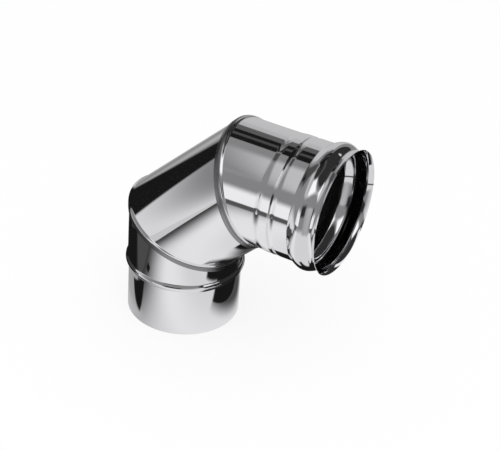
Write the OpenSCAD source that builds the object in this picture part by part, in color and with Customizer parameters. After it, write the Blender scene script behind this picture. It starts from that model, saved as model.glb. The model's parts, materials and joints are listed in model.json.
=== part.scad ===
// Flue elbow of mirror-polished steel sheet: three gores joined by two folded lock seams.
// The spigot stands on the origin and points down, the socket faces +X, all sizes in mm.

/* [Spigot] */
// Outside diameter of the plain spigot
spigot_diameter = 120; // [80:1:200]
// Length of the plain spigot, up to the stop bead
spigot_length = 54.5; // [30:0.5:90]
// Width of the stop bead, which rests on the next socket's flare
stop_bead_width = 10; // [6:0.5:16]
// Rise of the stop bead above the body
stop_bead_rise = 2.2; // [1:0.1:4]

/* [Body] */
// Thickness of the steel sheet
sheet = 0.5; // [0.4:0.1:1]
// How far the body stands outside the spigot
body_step = 1.2; // [0.8:0.1:4]
// Angle between the spigot's axis and the socket's axis
bend_angle = 90; // [60:1:100]
// Radius of the bend, measured at the duct's axis
bend_radius = 128; // [120:1:220]
// Plain wall at the throat, between the stop bead and the lower seam
lower_throat = 11; // [4:0.5:60]
// Plain wall at the throat, between the upper seam and the step into the socket
upper_throat = 5.5; // [2:0.5:60]

/* [Lock seams] */
// Length of the fold, which grips the flange of the gore before it
fold_length = 5; // [3:0.5:8]
// Length of the rounded shoulder on the other side of the seam
shoulder_length = 3.6; // [2:0.2:6]
// Gap that is left between the folded sheets
seam_gap = 0.05; // [0.02:0.01:0.1]

/* [Socket] */
// Radial play between the socket and a spigot of this size
socket_play = 1.5; // [0.4:0.1:3]
// Width of the step where the body widens into the socket
step_width = 4.5; // [3:0.1:8]
// Length of the plain land between the step and the shallow groove
land_length = 9; // [4:0.5:20]
// Width of the shallow groove's side that falls from the land
groove_fall = 3.4; // [2:0.2:6]
// Width of the shallow groove's side that rises to the plain socket wall
groove_return = 5; // [2:0.2:10]
// Depth of the shallow groove
groove_depth = 0.5; // [0.2:0.1:1]
// Length of the plain socket wall
socket_wall = 14.6; // [8:0.2:60]
// Width of the wide round bead near the mouth
mouth_bead_width = 23.4; // [14:0.2:30]
// Rise of the wide round bead
mouth_bead_rise = 4.6; // [2:0.1:8]
// Length of the plain neck between the wide bead and the flare
neck_length = 1.2; // [1:0.1:10]
// Length of the flared lip
flare_length = 6.8; // [4:0.2:14]
// Rise of the flared lip, from the neck to the rim
flare_rise = 3; // [1:0.1:6]

/* [Hidden] */
$fn = 128;

// Steps of a formed ring's curve and of a shoulder's round
ring_steps = 16;
shoulder_steps = 4;

// Radii of the sheet's outside
spigot_radius = spigot_diameter / 2;
body_radius = spigot_radius + body_step;
socket_radius = spigot_radius + socket_play + sheet;
groove_radius = socket_radius - groove_depth;

// Radii of a lock seam: the flange inside, the space around it and the fold over both
flange_radius = body_radius + sheet;
pocket_radius = flange_radius + seam_gap;
fold_radius = pocket_radius + sheet;

// Both seams lie on a mitre plane, tilted by half the angle between the two gores
mitre = bend_angle / 4;
mitre_rise = body_radius * tan(mitre);
fold_rise = fold_length / cos(mitre);
shoulder_rise = shoulder_length / cos(mitre);
middle_length = 2 * bend_radius * tan(mitre);

// Stations along the spigot's axis
stop_bead_end = spigot_length + stop_bead_width;
lower_seam_height = stop_bead_end + lower_throat + fold_rise + mitre_rise;

// Stations along the socket's axis, from the middle of the upper seam
step_start = mitre_rise + shoulder_rise + upper_throat;
groove_start = step_start + step_width + land_length;
groove_bottom = groove_start + groove_fall;
socket_wall_start = groove_bottom + groove_return;
mouth_bead_start = socket_wall_start + socket_wall;
neck_start = mouth_bead_start + mouth_bead_width;
flare_start = neck_start + neck_length;

// How round a formed ring is: 1 is a half wave, more gives it softer feet
stop_bead_fullness = 1.3;
mouth_bead_fullness = 1.15;

// The gores' axes are numbered from the spigot, 0 to 2, and the seams 0 and 1
lower_seam_centre = [0, 0, lower_seam_height];
middle_way = [sin(bend_angle / 2), 0, cos(bend_angle / 2)];
upper_seam_centre = lower_seam_centre + middle_length * middle_way;
gore_start = [[0, 0, 0], lower_seam_centre, upper_seam_centre];
gore_turn = [0, bend_angle / 2, bend_angle];
seam_centre = [lower_seam_centre, upper_seam_centre];
seam_turn = [mitre, 3 * mitre];

// Longer than any cut across the part
reach = 4 * (middle_length + flare_start + flare_length + lower_seam_height);

// A smooth change from 0 to 1
function ease(u) = (1 - cos(180 * u)) / 2;
function ease_slope(u) = PI / 2 * sin(180 * u);

// A round wave from 0 up to 1 and back
function wave(u, fullness) = pow(sin(180 * u), fullness);
function wave_slope(u, fullness) = fullness * PI * cos(180 * u) * pow(sin(180 * u), fullness - 1);

// A point of the sheet, at a depth square to its outside: [radius, station]
function sheet_point(radius, station, slope, depth) =
    let (along_wall = 1 / sqrt(1 + slope * slope))
    [radius - depth * along_wall, station + depth * slope * along_wall];

// A bead pressed round the sheet, where the wall goes from radius r0 to r1
function formed_ring(start, width, r0, r1, rise, fullness, depth) = [
    for (i = [0 : ring_steps])
        let (u = i / ring_steps)
        let (radius = r0 + (r1 - r0) * ease(u) + rise * wave(u, fullness))
        let (slope = ((r1 - r0) * ease_slope(u) + rise * wave_slope(u, fullness)) / width)
        sheet_point(radius, start + width * u, slope, depth)
];

// A smooth step of the wall from radius r0 to r1
function formed_step(start, width, r0, r1, depth) = formed_ring(start, width, r0, r1, 0, 1, depth);

// The lip that opens out to the rim
function flared_lip(start, depth) = [
    for (i = [0 : ring_steps])
        let (u = i / ring_steps)
        let (slope = 2 * flare_rise * u / flare_length)
        sheet_point(socket_radius + flare_rise * u * u, start + flare_length * u, slope, depth)
];

function reversed(list) = [for (i = [len(list) - 1 : -1 : 0]) list[i]];

// The spigot's wall, from its end to well past the lower seam
function spigot_wall(depth) = concat(
    [[spigot_radius - depth, 0]],
    formed_ring(spigot_length, stop_bead_width, spigot_radius, body_radius,
        stop_bead_rise + body_step / 2, stop_bead_fullness, depth),
    [[body_radius - depth, lower_seam_height + 2 * mitre_rise]]
);

// The socket's wall, from well before the upper seam to the rim
function socket_wall_line(depth) = concat(
    [[body_radius - depth, -2 * mitre_rise]],
    formed_step(step_start, step_width, body_radius, socket_radius, depth),
    formed_step(groove_start, groove_fall, socket_radius, groove_radius, depth),
    formed_step(groove_bottom, groove_return, groove_radius, socket_radius, depth),
    formed_ring(mouth_bead_start, mouth_bead_width, socket_radius, socket_radius,
        mouth_bead_rise, mouth_bead_fullness, depth),
    flared_lip(flare_start, depth)
);

module along_gore(i) {
    translate(gore_start[i]) rotate([0, gore_turn[i], 0]) children();
}

// A tube along Z, its bore cut a little past both ends
module tube(outer, inner, low, high) {
    difference() {
        translate([0, 0, low]) cylinder(r = outer, h = high - low);
        translate([0, 0, low - sheet]) cylinder(r = inner, h = high - low + 2 * sheet);
    }
}

// The space between two planes parallel to a seam, by their distance along the duct
module seam_slice(i, low, high) {
    translate(seam_centre[i])
        rotate([0, seam_turn[i], 0])
            translate([-reach / 2, -reach / 2, low])
                cube([reach, reach, high - low]);
}

// A ring that follows gore g and lies between two planes of seam i
module seam_ring(i, g, outer, inner, low, high) {
    intersection() {
        along_gore(g) tube(outer, inner, -reach / 2, reach / 2);
        seam_slice(i, low, high);
    }
}

// Cuts a gore at the seam after it and turns its edge outwards into a flange
module flanged_end(i) {
    intersection() {
        union() {
            children();
            seam_ring(i, i, flange_radius, body_radius - sheet / 2, -sheet - seam_gap, sheet);
        }
        seam_slice(i, -reach / 2, -seam_gap);
    }
}

// The rounded shoulder of the gore after seam i, in thin steps
module shoulder(i) {
    for (k = [0 : shoulder_steps - 1]) {
        height = (fold_radius - body_radius) * sqrt(1 - pow(k / shoulder_steps, 2));
        seam_ring(i, i + 1, body_radius + height, body_radius - sheet / 2,
            -shoulder_length, shoulder_length * (k + 1) / shoulder_steps);
    }
}

// The edge that the gore after seam i folds over the flange, with the pocket that holds it
module fold(i) {
    difference() {
        seam_ring(i, i, fold_radius, body_radius + seam_gap, -fold_length, -seam_gap);
        seam_ring(i, i, pocket_radius, body_radius - sheet, -sheet - 2 * seam_gap, sheet);
    }
}

// The bent sheet that joins the fold to the shoulder, at the bottom of the crease between them
module crease(i) {
    seam_ring(i, i, fold_radius - sheet / 4, pocket_radius + sheet / 4, -sheet, seam_gap);
}

// Cuts a gore at the seam before it, with its shoulder and the fold over the flange
module folded_start(i) {
    intersection() {
        union() {
            children();
            shoulder(i);
        }
        seam_slice(i, 0, reach / 2);
    }
    crease(i);
    fold(i);
}

// The lower gore: plain spigot, stop bead and the flange of the lower seam
module spigot_gore() {
    color("gainsboro")
        flanged_end(0)
            rotate_extrude() polygon(concat(spigot_wall(0), reversed(spigot_wall(sheet))));
}

// The gore between the seams, folded over the lower one and flanged into the upper one
module middle_gore() {
    color("silver")
        folded_start(0)
            flanged_end(1)
                along_gore(1)
                    tube(body_radius, body_radius - sheet,
                        -2 * mitre_rise, middle_length + 2 * mitre_rise);
}

// The upper gore: step into the socket, shallow groove, plain socket, wide bead and flared lip
module socket_gore() {
    color("lightgrey")
        folded_start(1)
            along_gore(2)
                rotate_extrude()
                    polygon(concat(socket_wall_line(0), reversed(socket_wall_line(sheet))));
}

spigot_gore();
middle_gore();
socket_gore();
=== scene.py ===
# %% [markdown]
# This lesson dresses one flue elbow: the right-angle bend of a boiler's exhaust pipe.
# The real one is rolled from mirror-polished stainless sheet, half a millimetre thick.
# Three short tubes, which sheet-metal workers call gores, meet at two slanted lock seams.
# The packed solids hold every place and size, so they are loaded first and never moved.

# %% Load the packed elbow
import json
import math

import bmesh
import bpy
from mathutils import Matrix, Vector


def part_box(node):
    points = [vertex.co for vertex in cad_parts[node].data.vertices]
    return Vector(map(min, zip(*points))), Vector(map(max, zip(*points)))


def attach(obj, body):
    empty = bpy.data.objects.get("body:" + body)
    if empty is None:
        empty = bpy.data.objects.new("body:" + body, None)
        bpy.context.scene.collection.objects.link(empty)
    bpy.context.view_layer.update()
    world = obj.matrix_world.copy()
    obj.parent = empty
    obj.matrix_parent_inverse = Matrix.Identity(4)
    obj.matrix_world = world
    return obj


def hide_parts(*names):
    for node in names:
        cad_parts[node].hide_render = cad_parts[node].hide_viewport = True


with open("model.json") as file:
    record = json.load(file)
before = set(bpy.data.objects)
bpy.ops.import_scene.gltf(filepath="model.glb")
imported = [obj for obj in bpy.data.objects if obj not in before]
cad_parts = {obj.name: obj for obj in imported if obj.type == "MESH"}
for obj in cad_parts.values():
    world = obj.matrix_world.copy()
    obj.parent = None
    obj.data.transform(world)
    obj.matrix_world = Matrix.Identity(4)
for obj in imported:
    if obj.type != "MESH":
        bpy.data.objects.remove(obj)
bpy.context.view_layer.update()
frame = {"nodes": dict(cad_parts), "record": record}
mounts = {mount["name"]: mount for mount in frame["record"]["mounts"]}
print("solids:", sorted(frame["nodes"]), "mounts:", sorted(mounts))

# %% [markdown]
# Blender measures in metres, and a tinsmith in millimetres, so one named factor joins the two.
# The spigot and the socket take their radii from the packed mounts, where other pipes fit.
# The body stands outside the spigot by one small step. Each fold adds two sheets and a narrow gap.

# %% Radii of the sheet
mm = 0.001
sheet = 0.5 * mm
seam_gap = 0.05 * mm
body_step = 1.2 * mm
spigot_radius = mounts["spigot"]["dims"]["r_mm"] * mm
body_radius = spigot_radius + body_step
socket_radius = mounts["socket"]["dims"]["r_mm"] * mm + sheet
flange_radius = body_radius + sheet
pocket_radius = flange_radius + seam_gap
fold_radius = pocket_radius + sheet
fold_error = fold_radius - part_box("middle_gore")[1].y
print(f"fold radius {fold_radius / mm:.2f} mm, off the solid's by {fold_error / mm:.3f} mm")

# %% [markdown]
# The duct turns 90 degrees in two steps of 45, so each seam lies on a plane tilted by half a step.
# The bend's radius is measured to the duct's middle line, and the fold and the shoulder of a seam
# square to the seam's plane. All other lengths run along a gore's own axis.

# %% Lengths of the sheet
gore_step = math.radians(45)
mitre = gore_step / 2
bend_radius = 128 * mm
spigot_length = mounts["spigot"]["dims"]["length_mm"] * mm
stop_bead_width = 10 * mm
lower_throat = 11 * mm
fold_length = 5 * mm
shoulder_length = 3.6 * mm
upper_throat = 5.5 * mm
step_width = 4.5 * mm
land_length = 9 * mm
groove_fall = 3.4 * mm
groove_return = 5 * mm
wall_length = mounts["socket"]["dims"]["length_mm"] * mm
mouth_bead_width = 23.4 * mm
neck_length = 1.2 * mm
flare_length = 6.8 * mm
print(f"spigot {spigot_length / mm:.1f} mm long, plain socket wall {wall_length / mm:.1f} mm")

# %% [markdown]
# A station is a place along a gore's own axis, from the spigot's end or from a seam's middle.

# %% Stations along the gores
mitre_rise = body_radius * math.tan(mitre)
fold_rise = fold_length / math.cos(mitre)
shoulder_rise = shoulder_length / math.cos(mitre)
stop_bead_end = spigot_length + stop_bead_width
lower_seam = stop_bead_end + lower_throat + fold_rise + mitre_rise
middle_length = 2 * bend_radius * math.tan(mitre)
step = mitre_rise + shoulder_rise + upper_throat
land = step + step_width
groove = land + land_length
groove_bottom = groove + groove_fall
socket_wall = groove_bottom + groove_return
mouth_bead = socket_wall + wall_length
neck = mouth_bead + mouth_bead_width
flare = neck + neck_length
rim = flare + flare_length
print(f"lower seam at {lower_seam / mm:.1f} mm, rim {rim / mm:.1f} mm past the upper seam")

# %% [markdown]
# Each gore is modelled upright at the origin and then carried to its place by one matrix.
# The gores' axes start at the spigot's end and at the middle of each seam.

# %% Frames of the three gores
middle_way = Vector((math.sin(gore_step), 0, math.cos(gore_step)))
gore_start = [Vector(), Vector((0, 0, lower_seam))]
gore_start.append(gore_start[1] + middle_length * middle_way)
gore_frame = [
    Matrix.Translation(start) @ Matrix.Rotation(turn * gore_step, 4, "Y")
    for turn, start in enumerate(gore_start)
]
print("gore starts in mm:", [tuple(round(v / mm, 1) for v in start) for start in gore_start])

# %% [markdown]
# Beads and steps are rolled into the sheet between two wheels, so their sections are smooth waves.
# A wave could be drawn by hand as a curve, but a power of a sine gives any fullness in one line.
# A short strip of plain wall beside each wave keeps the shading of the long wall straight.

# %% Sections of the rolled rings
ring_steps = 24
support = 0.2 * mm


def rolled_ring(start, end, radius_before, radius_after, rise, fullness):
    """Section of a rolled bead, as (radius, station) points."""
    line = []
    for i in range(ring_steps + 1):
        u = i / ring_steps
        change = (1 - math.cos(math.pi * u)) / 2
        wave = max(math.sin(math.pi * u), 0) ** fullness
        radius = radius_before + (radius_after - radius_before) * change + rise * wave
        line.append((radius, start + (end - start) * u))
    return line


def rolled_step(start, end, radius_before, radius_after):
    """Section of a smooth step between two radii."""
    return rolled_ring(start, end, radius_before, radius_after, 0, 1)


def plain_wall(radius, start, end):
    """Straight wall between two rings, held by a point close to each of them."""
    return [(radius, start + support), (radius, end - support)]


def flared_lip(start, end, radius, rise):
    """Section of the lip, which opens out faster towards the rim."""
    steps = [i / ring_steps for i in range(ring_steps + 1)]
    return [(radius + rise * u * u, start + (end - start) * u) for u in steps]


def inner_side(line):
    """The same sheet's inner face, one thickness away and square to the outer one."""
    inside = []
    for i, (radius, station) in enumerate(line):
        before = line[max(i - 1, 0)]
        after = line[min(i + 1, len(line) - 1)]
        along = Vector((after[0] - before[0], after[1] - before[1])).normalized()
        inside.append((radius - sheet * along.y, station + sheet * along.x))
    return inside


print(f"each ring is drawn in {ring_steps} steps")

# %% [markdown]
# The spigot's section climbs over the stop bead to the body. A bead's rise is measured from the
# smooth line between the walls on its two sides.

# %% Section of the spigot
stop_bead_rise = 2.8 * mm
stop_bead_fullness = 1.3
spigot_line = [(spigot_radius, 0), (spigot_radius, spigot_length - support)]
spigot_line += rolled_ring(
    spigot_length, stop_bead_end, spigot_radius, body_radius, stop_bead_rise, stop_bead_fullness)
spigot_line += [(body_radius, stop_bead_end + support)]
print(f"spigot {len(spigot_line)} points")

# %% [markdown]
# The socket's section goes from the body over the step, the groove and the wide bead to the rim.
# In the photo the step is softer than in the solid, so it starts and ends a little further out.

# %% Section of the socket
step_round = 1.8 * mm
groove_depth = 0.5 * mm
mouth_bead_rise = 4.6 * mm
mouth_bead_fullness = 1.15
flare_rise = 3 * mm
groove_radius = socket_radius - groove_depth
step_start = step - step_round
step_end = land + step_round
socket_line = [(body_radius, step_start - support)]
socket_line += rolled_step(step_start, step_end, body_radius, socket_radius)
socket_line += plain_wall(socket_radius, step_end, groove)
socket_line += rolled_step(groove, groove_bottom, socket_radius, groove_radius)
socket_line += rolled_step(groove_bottom, socket_wall, groove_radius, socket_radius)[1:]
socket_line += plain_wall(socket_radius, socket_wall, mouth_bead)
socket_line += rolled_ring(
    mouth_bead, neck, socket_radius, socket_radius, mouth_bead_rise, mouth_bead_fullness)
socket_line += plain_wall(socket_radius, neck, flare)
socket_line += flared_lip(flare, rim, socket_radius, flare_rise)
print(f"socket {len(socket_line)} points")

# %% [markdown]
# A lock seam joins two gores without welding. The gore before it turns its edge outwards into a
# narrow flange, and the gore after it folds over that flange and is pressed tight.
# Outside, that leaves a flat hem, a sharp crease and a round shoulder, one beside the other.
# A shoulder is given by the two stations where its curve starts and ends. The upper one starts
# further out, because the photo shows a wide flat crest between the crease and that shoulder.

# %% Sections of the lock seam
seam_steps = 8
hem_round = 0.45 * mm
crease_half = 0.55 * mm
crease_depth = 0.45 * mm
lower_shoulder = (crease_half, 4.4 * mm)
upper_shoulder = (2.8 * mm, 5.85 * mm)
grip_radius = body_radius + seam_gap
flange_low = (sheet + seam_gap) / math.cos(mitre)
pocket_low = (sheet + 2 * seam_gap) / math.cos(mitre)


def arc(turn_from, turn_to):
    """Angles along an arc, in radians, between two angles in degrees."""
    stride = (turn_to - turn_from) / seam_steps
    return [math.radians(turn_from + stride * i) for i in range(seam_steps + 1)]


def hem_and_shoulder(shoulder):
    """Outside of the folded edge, from its free end over the crease to the plain wall."""
    line = [(grip_radius, -fold_rise)]
    for turn in arc(180, 90):
        out = fold_radius - hem_round + hem_round * math.sin(turn)
        line.append((out, hem_round - fold_rise + hem_round * math.cos(turn)))
    for turn in arc(180, 0):
        dip = crease_depth * math.sin(turn)
        line.append((fold_radius - dip, crease_half * math.cos(turn)))
    line += rolled_step(*shoulder, fold_radius, body_radius)[1:]
    return line


def pocket_side():
    """Inside of the folded edge, from the plain wall round the flange's pocket to the hem."""
    line = [(body_radius - sheet * math.cos(turn), sheet - sheet * math.sin(turn))
            for turn in arc(0, 90)]
    line += [(pocket_radius, 0), (pocket_radius, -pocket_low), (grip_radius, -pocket_low)]
    return line


def flange_section(seam):
    """The edge that is turned out at a seam, from the outer wall round to the inner wall."""
    line = [(body_radius, seam - flange_low), (flange_radius, seam - flange_low)]
    top = seam - seam_gap / math.cos(mitre)
    line.append((flange_radius, top))
    line += [(body_radius - sheet * math.sin(turn), top - sheet + sheet * math.cos(turn))
             for turn in arc(0, 90)]
    return line


print(f"seam: {len(hem_and_shoulder(lower_shoulder))} points outside, {len(pocket_side())} inside")

# %% [markdown]
# One closed outline, spun once round the axis, makes a whole gore with its real wall thickness.
# A cylinder with a thickness added later would do for a plain pipe, but not for the folded edges.

# %% Spin a gore
spin_steps = 288


def spun_gore(outline):
    """A closed outline of (radius, station) points, spun into a tube with a thick wall."""
    mesh = bmesh.new()
    points = [mesh.verts.new((radius, 0, station)) for radius, station in outline]
    edges = [mesh.edges.new(pair) for pair in zip(points, points[1:] + points[:1])]
    bmesh.ops.spin(mesh, geom=points + edges, cent=(0, 0, 0), axis=(0, 0, 1), dvec=(0, 0, 0),
                   angle=2 * math.pi, steps=spin_steps, use_merge=True, use_duplicate=False)
    return mesh


print(f"each gore is spun in {spin_steps} steps")

# %% [markdown]
# The seam ends are then slanted with a shear, which slides each vertex along the axis, so the wall
# stays a true cylinder while its end becomes the mitre's ellipse. A hem lies on the gore before
# its seam, so it slides along that gore's axis, which leans back by one step of the bend.

# %% Slant the ends of a gore
slope = math.tan(mitre)
slant_end = Matrix(((1, 0, 0, 0), (0, 1, 0, 0), (-slope, 0, 1, 0), (0, 0, 0, 1)))
slant_start = Matrix(((1, 0, 0, 0), (0, 1, 0, 0), (slope, 0, 1, 0), (0, 0, 0, 1)))
back_x, back_z = -math.sin(gore_step), math.cos(gore_step)
slant_hem = Matrix(((1, 0, back_x, 0), (0, 1, 0, 0), (slope, 0, back_z, 0), (0, 0, 0, 1)))
below_hem = -2 * fold_rise
# A hair's breadth, so that points on a border are surely on its lower side.
hair = sheet / 1000


def slant(mesh, matrix, verts, pivot=0):
    """Shears some of a gore's vertices about a seam's middle."""
    shift = Matrix.Translation((0, 0, pivot))
    bmesh.ops.transform(mesh, matrix=shift @ matrix @ shift.inverted(), verts=verts)


def between(mesh, low, high):
    """A gore's vertices whose station lies between two values."""
    return [vert for vert in mesh.verts if low < vert.co.z <= high]


def slant_folded_start(mesh, shoulder_end):
    """Slants the hem along the gore before the seam, and the shoulder along this one."""
    hem = between(mesh, below_hem, hair)
    shoulder = between(mesh, hair, shoulder_end + hair)
    slant(mesh, slant_hem, hem)
    slant(mesh, slant_start, shoulder)


print(f"seams slant by {math.degrees(mitre):.1f} degrees")

# %% [markdown]
# A finished gore is carried to its place. Before that, while it still stands upright, each face
# notes whether it looks inwards, because the inside is duller and has painted shade. Only edges
# with a real corner stay sharp, such as the rims of the sheet.

# %% Place a gore
sharp_angle = math.radians(35)


def mark_inside(mesh):
    """Notes on each face of an upright gore whether it looks towards the duct's axis."""
    bmesh.ops.recalc_face_normals(mesh, faces=mesh.faces)
    inside = mesh.faces.layers.float.new("inside")
    for face in mesh.faces:
        middle = face.calc_center_median()
        face[inside] = float(face.normal.x * middle.x + face.normal.y * middle.y < 0)


def place_gore(mesh, name, number):
    """Carries a finished gore to its place and makes its object."""
    mark_inside(mesh)
    bmesh.ops.transform(mesh, matrix=gore_frame[number], verts=mesh.verts)
    bmesh.ops.recalc_face_normals(mesh, faces=mesh.faces)
    for face in mesh.faces:
        face.smooth = True
    for edge in mesh.edges:
        edge.smooth = edge.calc_face_angle() < sharp_angle
    data = bpy.data.meshes.new(name)
    mesh.to_mesh(data)
    mesh.free()
    piece = bpy.data.objects.new(name, data)
    bpy.context.scene.collection.objects.link(piece)
    print(f"{name}: {len(data.polygons)} faces")
    return piece


# %% [markdown]
# The spigot gore is the lower leg. Its plain end slides into the next pipe's socket, and the stop
# bead above it rests on that socket's lip.

# %% Model the spigot gore
spigot_outline = spigot_line + flange_section(lower_seam) + inner_side(spigot_line)[::-1]
spigot_mesh = spun_gore(spigot_outline)
flanged = between(spigot_mesh, stop_bead_end + sheet, lower_seam)
slant(spigot_mesh, slant_end, flanged, lower_seam)
spigot_piece = place_gore(spigot_mesh, "spigot_gore_sheet", 0)

# %% [markdown]
# The middle gore is a plain tube with a folded start and a flanged end.

# %% Model the middle gore
middle_outline = hem_and_shoulder(lower_shoulder) + flange_section(middle_length) + pocket_side()
middle_mesh = spun_gore(middle_outline)
flanged = between(middle_mesh, middle_length / 2, middle_length)
slant_folded_start(middle_mesh, lower_shoulder[1])
slant(middle_mesh, slant_end, flanged, middle_length)
middle_piece = place_gore(middle_mesh, "middle_gore_sheet", 1)

# %% [markdown]
# The socket gore widens by a small step, so that the next pipe's spigot slides into it until that
# spigot's stop bead meets the lip. A shallow groove stiffens the wall, and the wide bead and the
# flared lip guide the spigot in and keep the thin mouth round.

# %% Model the socket gore
socket_outline = (
    hem_and_shoulder(upper_shoulder) + socket_line + inner_side(socket_line)[::-1] + pocket_side())
socket_mesh = spun_gore(socket_outline)
slant_folded_start(socket_mesh, upper_shoulder[1])
socket_piece = place_gore(socket_mesh, "socket_gore_sheet", 2)

# %% [markdown]
# Each sheet stands for its plain solid, rides on the only body and takes the polished finish.
# Its box is compared with the solid's, to show that the sheet has the same size and place.

# %% Hand the sheets to the frame
sheets = {"spigot_gore": spigot_piece, "middle_gore": middle_piece, "socket_gore": socket_piece}
for node, piece in sheets.items():
    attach(piece, "root")
    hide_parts(node)
    low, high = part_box(node)
    sides = list(zip(*piece.bound_box))
    sheet_box = [min(side) for side in sides] + [max(side) for side in sides]
    gap = max(abs(a - b) for a, b in zip((*low, *high), sheet_box))
    print(f"{node}: sheet's box differs from the solid's by {gap / mm:.2f} mm at most")

# %% [markdown]
# The camera stands where the photographer stood: in front of the bend's plane, a little towards
# the socket's mouth, and looking down. A long lens from well back keeps the perspective as flat as
# in a catalogue picture.

# %% Camera
photo_width = 500
sensor_width = 36
view_azimuth = math.radians(27.32)
view_elevation = math.radians(33.51)
view_roll = math.radians(4.29)
view_distance = 1.6377
focal_pixels = 1583.2
aim = Vector((0.054, 0, 0.114))
aim_right, aim_up = 0.01866, 0.00476

back = Vector((math.sin(view_azimuth) * math.cos(view_elevation),
               -math.cos(view_azimuth) * math.cos(view_elevation),
               math.sin(view_elevation)))
sideways = Vector((math.cos(view_azimuth), math.sin(view_azimuth), 0))
upright = back.cross(sideways)
right = sideways * math.cos(view_roll) + upright * math.sin(view_roll)
up = upright * math.cos(view_roll) - sideways * math.sin(view_roll)
camera_data = bpy.data.cameras.new("photo_camera")
camera_data.sensor_width = sensor_width
camera_data.lens = focal_pixels / photo_width * sensor_width
camera = bpy.data.objects.new("photo_camera", camera_data)
eye = aim + right * aim_right + up * aim_up + back * view_distance
camera.matrix_world = Matrix((right, up, back)).transposed().to_4x4()
camera.location = eye
bpy.context.scene.collection.objects.link(camera)
bpy.context.scene.camera = camera
print(f"lens {camera_data.lens:.1f} mm, camera at {[round(v, 3) for v in eye]}")

# %% [markdown]
# Shader maths reads best as ordinary sums, so a small class stands for a socket in an expression.
# Each operator adds one Math node, and make() adds any other node with its settings and inputs.

# %% A socket that takes part in sums
class Wire:
    """An output socket of a node tree, for use in Python expressions."""

    def __init__(self, tree, socket=None):
        self.tree = tree
        self.socket = socket

    def make(self, kind, settings=(), inputs=(), output=0):
        """Adds a node, sets it up, feeds its inputs and returns one of its outputs."""
        node = self.tree.nodes.new(kind)
        for name, value in dict(settings).items():
            setattr(node, name, value)
        for key, value in dict(inputs).items():
            if isinstance(value, Wire):
                self.tree.links.new(value.socket, node.inputs[key])
            else:
                node.inputs[key].default_value = value
        return Wire(self.tree, node.outputs[output] if node.outputs else None)

    def math(self, operation, first, second=0.0):
        """Adds a Math node for two values, which may be sockets or plain numbers."""
        return self.make("ShaderNodeMath", {"operation": operation}, {0: first, 1: second})

    def __add__(self, other):
        return self.math("ADD", self, other)

    __radd__ = __add__

    def __mul__(self, other):
        return self.math("MULTIPLY", self, other)

    __rmul__ = __mul__

    def __sub__(self, other):
        return self.math("SUBTRACT", self, other)

    def __rsub__(self, other):
        return self.math("SUBTRACT", other, self)

    def rise(self, low, high):
        """0 below low, 1 above high and a smooth change between them, either way round."""
        return self.make("ShaderNodeMapRange", {"interpolation_type": "SMOOTHSTEP"},
                         {"Value": self, "From Min": low, "From Max": high})

    def between(self, low, high, soft_low, soft_high):
        """1 between two values, with a soft edge outside each of them."""
        return self.rise(low - soft_low, low) * (1 - self.rise(high, high + soft_high))

    def cover(self, front, back):
        """The front value where this mask is 1, and the back value where it is 0."""
        return self * front + (1 - self) * back

    def tint(self, plain, tinted):
        """The plain colour where this mask is 0, and the tinted colour where it is 1."""
        return self.make("ShaderNodeMix", {"data_type": "RGBA"}, {0: self, 6: plain, 7: tinted}, 2)

    def split(self):
        """The three parts of a vector."""
        return [self.make("ShaderNodeSeparateXYZ", (), {0: self}, axis) for axis in "XYZ"]


def new_tree(owner):
    """An empty node tree for a material or a world, and a Wire to build it with."""
    owner.use_nodes = True
    owner.node_tree.nodes.clear()
    return Wire(owner.node_tree)


print("methods of a wire:", [name for name in vars(Wire) if not name.startswith("__")])

# %% [markdown]
# The sheet is stainless steel with a rolled mirror finish. It is all metal, with a neutral colour.
# Rolling leaves very fine lines round each gore, so the gloss varies a little from line to line.
# The weld along each gore is ground flush and stays as a thin dull line, and the rollers that
# closed the seams left the hems dull, with small teeth. Nobody polishes the inside, so it is left
# duller, and its colour is darkened as painted shade for the dark far down the duct; in the
# socket gore that starts behind the mouth's wide bead.

# %% Values of the finish
steel_colour = (0.815, 0.81, 0.83, 1)
hem_colour = (0.28, 0.28, 0.29, 1)
# Painted shade: the colour of the inside far down the duct, where little light reaches.
inside_shade_colour = (0.2, 0.19, 0.185, 1)
weld_colour = (0.16, 0.15, 0.15, 1)
mirror_roughness = 0.03
line_roughness = 0.03
smudge_roughness = 0.04
weld_roughness = 0.3
inside_roughness = 0.3
hem_roughness = 0.26
# The noise of the rolling lines is coarse round a gore and very fine along it.
lines_round = 3
lines_along = 9000
smudge_scale = 28.0
smudge_span = (0.5, 0.8)
weld_half = 1.2 * mm
hem_edge = 0.3 * mm
hem_teeth = 300
line_height = 0.00002
tooth_height = 0.00006
bump_strength = 0.25
bump_distance = 0.002
print(f"gloss: roughness from {mirror_roughness}, inside {inside_roughness} more")

# %% [markdown]
# Noise and sines in each gore's own frame draw the lines, the smudges and the teeth.
# An image texture would need a UV map and would blur close up.

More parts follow.
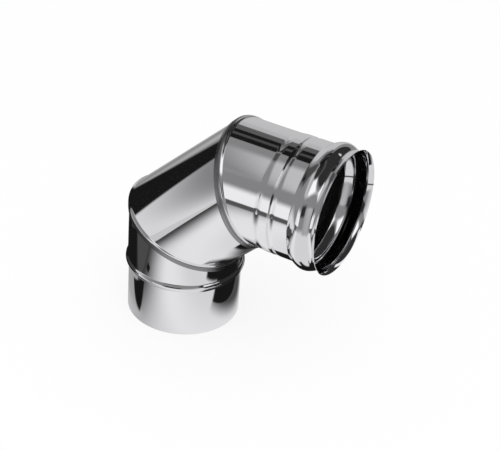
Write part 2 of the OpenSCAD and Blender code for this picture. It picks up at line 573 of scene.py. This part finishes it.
# %% Polished steel
def polished_steel(name, number):
    """The finish of one gore, with painted shade inside, drawn in that gore's own frame."""
    material = bpy.data.materials.new(name)
    wire = new_tree(material)
    into_gore = gore_frame[number].inverted()
    place = wire.make("ShaderNodeTexCoord", output="Object")
    local = wire.make("ShaderNodeMapping", {"vector_type": "POINT"}, {
        "Vector": place, "Location": into_gore.translation, "Rotation": into_gore.to_euler()})
    x, y, z = local.split()
    angle = wire.math("ARCTAN2", y, x)
    across = wire.make("ShaderNodeCombineXYZ", (), {"X": angle * lines_round, "Z": z * lines_along})
    lines = wire.make("ShaderNodeTexNoise", {"noise_dimensions": "3D"}, {
        "Vector": across, "Scale": 1.0, "Detail": 3.0, "Roughness": 0.6})
    smudges = wire.make("ShaderNodeTexNoise", {"noise_dimensions": "3D"}, {
        "Vector": local, "Scale": smudge_scale, "Detail": 4.0, "Roughness": 0.55})
    on_weld = wire.math("ABSOLUTE", x).rise(weld_half, weld_half / 2) * y.rise(0, sheet)
    # Painted shade: inside faces take a darker colour for the shade far down the duct, and a duller
    # gloss.
    dull_and_shaded_inside = wire.make("ShaderNodeAttribute", {"attribute_name": "inside"}, (), "Fac")
    if number == 2:
        dull_and_shaded_inside = dull_and_shaded_inside * z.rise(mouth_bead, socket_wall)
    colour = dull_and_shaded_inside.tint(on_weld.tint(steel_colour, weld_colour), inside_shade_colour)
    roughness = mirror_roughness + line_roughness * lines
    roughness = roughness + smudge_roughness * smudges.rise(*smudge_span)
    roughness = roughness + weld_roughness * on_weld + inside_roughness * dull_and_shaded_inside
    height = lines * line_height
    if number > 0:
        crest = (lower_shoulder, upper_shoulder)[number - 1][0]
        on_hem = (z - x * slope).rise(crest, crest - hem_edge)
        teeth = wire.math("SINE", angle * hem_teeth)
        colour = on_hem.tint(colour, hem_colour)
        roughness = roughness + on_hem * hem_roughness
        height = height + on_hem * teeth * tooth_height
    bump = wire.make("ShaderNodeBump", (), {
        "Strength": bump_strength, "Distance": bump_distance, "Height": height})
    shader = wire.make("ShaderNodeBsdfPrincipled", (), {
        "Base Color": colour, "Metallic": 1.0, "Roughness": roughness, "Normal": bump})
    wire.make("ShaderNodeOutputMaterial", (), {"Surface": shader})
    print(f"{name}: {len(material.node_tree.nodes)} nodes")
    return material


for number, piece in enumerate(sheets.values()):
    piece.data.materials.append(polished_steel(f"polished_steel_{number}", number))

# %% [markdown]
# A mirror shows its room more than itself, so the studio is what gives the elbow its look.
# Photographers of polished metal stand white and black boards round it. The far boards are given
# by compass direction and height, both in degrees. Direction 0 is the elbow's front side, and 90
# is where the socket's mouth faces.

# %% Far boards of the studio
far_boards = {
    # name: azimuth from and to, height from and to, softness left and right, softness below and
    # above, level at the left and the right end. A later board lies over the earlier ones.
    "dark_ceiling": ((-200, 200), (74, 100), (1, 1), (5, 1), (0.03, 0.03)),
    "dark_right_wall": ((65, 200), (-60, 66), (10, 1), (1, 10), (0.03, 0.03)),
    "right_wall_glow": ((30, 62), (-60, 15), (8, 8), (1, 5), (0.4, 0.85)),
    "key_softbox": ((0, 48), (45, 65), (15, 8), (10, 6), (1.15, 1.15)),
    "right_strip": ((70, 160), (28, 36), (4, 4), (2, 2), (1.0, 1.0)),
    "left_ceiling": ((-75, 0), (42, 66), (10, 10), (12, 6), (0.25, 0.55)),
    "left_dark": ((-110, -90), (10, 56), (5, 10), (6, 4), (0.08, 0.08)),
    "back_left_board": ((-165, -148), (-60, 37), (5, 8), (1, 4), (0.6, 0.5)),
    "back_left_low": ((-160, -125), (0, 23), (10, 10), (15, 4), (0.6, 0.6)),
    "upper_grey_step": ((-170, -140), (38, 47), (5, 20), (2, 2), (0.12, 0.12)),
    "dark_line": ((-185, -118), (49, 90), (1, 4), (2, 1), (0.01, 0.01)),
    "grey_line": ((-185, -120), (56, 58), (1, 4), (2, 2), (0.08, 0.08)),
    "front_gap": ((-45, -22), (-20, -14), (3, 4), (6, 1), (0.1, 0.1)),
    "front_strip": ((-40, -12), (-12, 5), (2, 12), (1, 12), (0.85, 1.1)),
    "camera_shade": ((0, 20), (8, 20), (15, 10), (8, 8), (0.03, 0.03)),
}
room_level = 0.27
low_room_level = 0.7
low_room_span = (-14, -27)


def studio_level(wire, direction):
    """How bright the studio is in a direction: the boards lie over each other in order."""
    x, y, z = direction.split()
    degrees = 180 / math.pi
    azimuth = wire.math("ARCTAN2", x, y * -1) * degrees
    height = wire.math("ARCSINE", z) * degrees
    level = room_level + (low_room_level - room_level) * height.rise(*low_room_span)
    for side, tall, soft_side, soft_tall, (left_level, right_level) in far_boards.values():
        inside = azimuth.between(*side, *soft_side) * height.between(*tall, *soft_tall)
        board = wire.make("ShaderNodeMapRange", {"interpolation_type": "LINEAR"}, {
            "Value": azimuth, "From Min": side[0], "From Max": side[1],
            "To Min": left_level, "To Max": right_level})
        level = inside.cover(board, level)
    return level


print(f"{len(far_boards)} far boards")

# %% [markdown]
# The far boards are drawn in the world, and only reflections see them. The camera sees plain
# white there, and the floor gets plain white light.

# %% World
world = bpy.data.worlds.new("studio")
bpy.context.scene.world = world
wire = new_tree(world)
direction = wire.make("ShaderNodeTexCoord", output="Generated")
glossy = wire.make("ShaderNodeLightPath", output="Is Glossy Ray")
level = glossy * studio_level(wire, direction) + (1 - glossy)
background = wire.make("ShaderNodeBackground", (), {"Color": level})
wire.make("ShaderNodeOutputWorld", (), {"Surface": background})
print(f"world: {len(world.node_tree.nodes)} nodes")

# %% [markdown]
# Painted shadows also lie on the floor round the foot, where the metal mirrors them: dark patches,
# mostly for the shade under the socket's overhang and beside the foot. Each is a convex shape, and
# each of its edges has its own softness. A later patch lies over the earlier ones.

# %% Painted shadows on the floor
# Painted shadow: each patch is dark floor that the metal mirrors, for shade under the bend and round
# the foot.
painted_floor_shadows = {
    # name: (corners anticlockwise from above, softness of the edge after each corner, level)
    "socket_shade": (((0.1, -0.03), (0.25, 0.03), (0.2, 0.2), (0.045, 0.09), (0.055, 0.035)),
                     (0.01, 0.05, 0.05, 0.03, 0.04), 0.08),
    "under_socket": (((0.105, -0.027), (0.25, 0.03), (0.2, 0.2), (0.084, 0.1), (0.086, 0.045),
                      (0.093, 0.012)),
                     (0.006, 0.05, 0.05, 0.003, 0.003, 0.004), 0.01),
    "right_black": (((0.145, -0.065), (0.17, -0.065), (0.17, 0.1), (0.145, 0.1)),
                    (0.01, 0.01, 0.05, 0.01), 0.01),
    "left_black": (((-0.11, -0.075), (-0.11, 0.09), (-0.25, 0.09), (-0.25, -0.075)),
                   (0.005, 0.04, 0.01, 0.02), 0.01),
    "left_triangle": (((-0.1, -0.042), (-0.085, -0.1), (-0.035, -0.062)),
                      (0.005, 0.005, 0.005), 0.01),
    "black_dot": (((-0.097, -0.125), (-0.097, -0.14), (-0.08, -0.14), (-0.08, -0.125)),
                  (0.004, 0.004, 0.004, 0.004), 0.01),
}


def board_mask(x, y, corners, softness):
    """1 inside a convex shape, a board or a painted shadow, whose corners go anticlockwise, with
    soft edges.
    """
    mask = 1.0
    for (ax, ay), (bx, by), soft in zip(corners, corners[1:] + corners[:1], softness):
        length = math.hypot(bx - ax, by - ay)
        across_x, across_y = (ay - by) / length, (bx - ax) / length
        distance = x * across_x + y * across_y - (ax * across_x + ay * across_y)
        mask = mask * distance.rise(-soft / 2, soft / 2)
    return mask


print(f"{len(painted_floor_shadows)} boards on the floor")

# %% [markdown]
# What the metal sees of the floor is painted light and shade. A fan of painted shadow starts at a
# slanted line on the left of the foot and fades to the right. Left of that line the floor is dark,
# except far in front, and a grey patch lies beside and behind the foot. The metal also sees painted
# shade, a dark hole, where the duct stands.

# %% What the metal sees of the floor
line_x, line_y = -0.14, -0.3
line_slope = 0.35
line_shift = 0.03
line_shift_span = (-0.25, -0.15)
line_soft = 0.003
fan_width = 0.13
fan_spread = 0.4
fan_front = -0.25
fan_dark, fan_gain = 0.05, 0.87
right_loss = 0.15
right_loss_span = (0.03, 0.12)
left_dark, left_gain = 0.08, 0.6
left_gain_span = (-0.2, -0.25)
patch_span_x = (-0.01, -0.04)
patch_span_y = (-0.07, -0.064)
patch_level, patch_gain = 0.4, 0.2
patch_gain_span = (0.085, 0.055)
duct_level = 0.01


def mirrored_floor(wire, x, y, distance):
    """What the metal sees of the floor: painted light on a sheet, a fan of painted shadow and the
    painted shadows on it.
    """
    past_line = x - line_x - line_slope * (y - line_y) + line_shift * y.rise(*line_shift_span)
    width = fan_width + fan_spread * wire.math("MAXIMUM", fan_front - y, 0)
    lit = fan_dark + fan_gain * wire.math("DIVIDE", past_line, width).rise(0, 1)
    lit = lit - right_loss * x.rise(*right_loss_span)
    left_of_line = past_line.rise(line_soft, -line_soft)
    shown = left_of_line.cover(left_dark + left_gain * y.rise(*left_gain_span), lit)
    patch = y.rise(*patch_span_y) * x.rise(*patch_span_x)
    shown = patch.cover(patch_level + patch_gain * distance.rise(*patch_gain_span), shown)
    for corners, softness, level in painted_floor_shadows.values():
        shown = board_mask(x, y, corners, softness).cover(level, shown)
    # Painted shade: the floor within the duct's foot is dark, where no light reaches.
    inside_duct = distance.rise(spigot_radius, spigot_radius - 2 * sheet)
    return inside_duct.cover(duct_level, shown)


print(f"fan of shadow at least {fan_width} m wide")

# %% [markdown]
# The floor is pale and plain for the camera. Part of its white is its own light, so the soft shadow
# at the foot stays faint. For the metal it ends at the edge of a round table, where the studio
# takes over.

# %% Floor
table_radius = 0.45
table_fade = 0.12
floor_glow = 0.84
floor_colour = 0.14
floor_radius = 12
floor_segments = 64

floor_material = bpy.data.materials.new("pale_floor")
wire = new_tree(floor_material)
x, y, z = wire.make("ShaderNodeTexCoord", output="Object").split()
path = {name: wire.make("ShaderNodeLightPath", output=name)
        for name in ("Is Camera Ray", "Is Glossy Ray", "Is Transmission Ray")}
distance = wire.math("SQRT", x * x + y * y)
white = wire.make("ShaderNodeBsdfDiffuse", (), {"Color": (floor_colour,) * 3 + (1,)})
glow = wire.make("ShaderNodeEmission", (), {
    "Color": (path["Is Camera Ray"] + path["Is Transmission Ray"]) * floor_glow})
plain = wire.make("ShaderNodeAddShader", (), {0: white, 1: glow})
mirrored = wire.make("ShaderNodeEmission", (), {"Color": mirrored_floor(wire, x, y, distance)})
beyond = wire.make("ShaderNodeBsdfTransparent")
seen = wire.make("ShaderNodeMixShader", (), {
    0: distance.rise(table_radius, table_radius + table_fade), 1: mirrored, 2: beyond})
surface = wire.make("ShaderNodeMixShader", (), {0: path["Is Glossy Ray"], 1: plain, 2: seen})
wire.make("ShaderNodeOutputMaterial", (), {"Surface": surface})


def stage_piece(name, mesh, material):
    """Makes an object of the studio, which isn't part of the elbow."""
    data = bpy.data.meshes.new(name)
    mesh.to_mesh(data)
    mesh.free()
    data.materials.append(material)
    piece = bpy.data.objects.new(name, data)
    bpy.context.scene.collection.objects.link(piece)
    return piece


floor_mesh = bmesh.new()
bmesh.ops.create_circle(floor_mesh, cap_ends=True, segments=floor_segments, radius=floor_radius)
stage_piece("floor", floor_mesh, floor_material)
print(f"floor: {len(floor_material.node_tree.nodes)} nodes")

# %% [markdown]
# Two boards stand close on the left, where their edges show as clear lines in the metal. A soft
# panel hangs above and in front of the bend, where the socket mirrors it. Three small dark cards
# are held near the metal. One under the throat and one just under the stop bead on the right are
# painted shadow, for the shade under the bend and at the foot; the third lies to the left of that
# bead. Each board or card is one flat rectangle, clear outside the soft edges of its shape.

# %% Near boards
near_boards = {
    # name: (axis it faces, place on that axis, corners on the other two axes, softness of each edge,
    # level before and after a ramp, weights of the two axes in the ramp, its start and its end)
    "near_black_board": ("X", -0.2, ((0.08, 0), (0.08, 0.35), (-0.01, 0.35), (-0.145, 0)),
                         (0.03, 0.02, 0.015, 0.002), (0.01, 0.01), (0, 1), (0, 1)),
    "near_white_board": ("X", -0.21, ((0, 0), (0, 0.32), (-0.45, 0.32), (-0.45, 0)),
                         (0.01, 0.05, 0.02, 0.002), (0.8, 0.27), (-0.4, 1), (0.15, 0.27)),
    "socket_panel": ("Z", 0.42, ((-0.15, -0.3), (0.1, -0.3), (0.1, -0.05), (-0.15, -0.05)),
                     (0.1, 0.05, 0.05, 0.1), (0.28, 0.6), (1, 0), (-0.05, 0.05)),
    # Painted shadow: a dark card for the shade under the throat of the bend.
    "throat_shadow_card": ("Z", 0.05, ((0.085, -0.035), (0.16, -0.035), (0.16, 0.1), (0.085, 0.1)),
                    (0.005, 0.01, 0.01, 0.005), (0.01, 0.01), (1, 0), (0, 1)),
    # Painted shadow: a dark card for the shade at the foot's right side.
    "foot_shadow_card": ("Z", 0.054, ((0.035, -0.04), (0.054, -0.04), (0.068, -0.018), (0.066, 0.05),
                               (0.03, 0.05)),
                  (0.006, 0.012, 0.012, 0.02, 0.02), (0.02, 0.02), (1, 0), (0, 1)),
    "bead_card": ("X", -0.12, ((-0.02, 0.052), (-0.02, 0.085), (-0.12, 0.085), (-0.12, 0.052)),
                  (0.004, 0.004, 0.004, 0.004), (0.05, 0.05), (1, 0), (0, 1)),
}


def card_mesh(axis, place, corners, margin):
    """A flat rectangle square to an axis, with a margin round some corners, above the floor."""
    low = [min(corner[i] for corner in corners) - margin for i in range(2)]
    high = [max(corner[i] for corner in corners) + margin for i in range(2)]
    turn = ((low[0], low[1]), (high[0], low[1]), (high[0], high[1]), (low[0], high[1]))
    mesh = bmesh.new()
    if axis == "X":
        mesh.faces.new([mesh.verts.new((place, u, max(v, 0))) for u, v in turn])
    else:
        mesh.faces.new([mesh.verts.new((u, v, place)) for u, v in turn])
    return mesh


def board_material(name, axis, corners, softness, levels, weights, ramp):
    """The glow of a near board, clear outside its soft edges."""
    material = bpy.data.materials.new(name)
    wire = new_tree(material)
    on_axis = dict(zip("XYZ", wire.make("ShaderNodeTexCoord", output="Object").split()))
    across = [on_axis[letter] for letter in "XYZ" if letter != axis]
    along = across[0] * weights[0] + across[1] * weights[1]
    level = levels[0] + (levels[1] - levels[0]) * along.rise(*ramp)
    glow = wire.make("ShaderNodeEmission", (), {"Color": level})
    clear = wire.make("ShaderNodeBsdfTransparent")
    shader = wire.make("ShaderNodeMixShader", (), {
        0: board_mask(*across, corners, softness), 1: clear, 2: glow})
    wire.make("ShaderNodeOutputMaterial", (), {"Surface": shader})
    return material


print(f"{len(near_boards)} near boards")

# %% [markdown]
# The camera doesn't see the near boards, and they neither light the floor nor shade it.

# %% Set up the near boards
for name, (axis, place, corners, softness, *glow_values) in near_boards.items():
    material = board_material(name, axis, corners, softness, *glow_values)
    board = stage_piece(name, card_mesh(axis, place, corners, max(softness) / 2), material)
    board.visible_camera = False
    board.visible_diffuse = False
    board.visible_shadow = False
    board.visible_transmission = False
    print(f"{name} at {axis} = {place}")

# %% [markdown]
# One wide lamp above gives the shadow under the elbow a direction. The metal doesn't mirror it,
# because the softbox in the world already stands for it there.

# %% Lamp
lamp_place = Vector((0.5, -0.7, 1.5))
lamp_aim = Vector((0.05, 0, 0.1))
lamp_data = bpy.data.lights.new("top_softbox", "AREA")
lamp_data.shape = "RECTANGLE"
lamp_data.size = 1.2
lamp_data.size_y = 0.9
lamp_data.energy = 6
lamp = bpy.data.objects.new("top_softbox", lamp_data)
lamp.location = lamp_place
lamp.rotation_euler = (lamp_aim - lamp_place).to_track_quat("-Z", "Y").to_euler()
lamp.visible_glossy = False
bpy.context.scene.collection.objects.link(lamp)
print("lamp at", tuple(lamp.location))

# %% [markdown]
# Standard view keeps colours as they are written.

# %% Colour view
bpy.context.scene.view_settings.view_transform = "Standard"
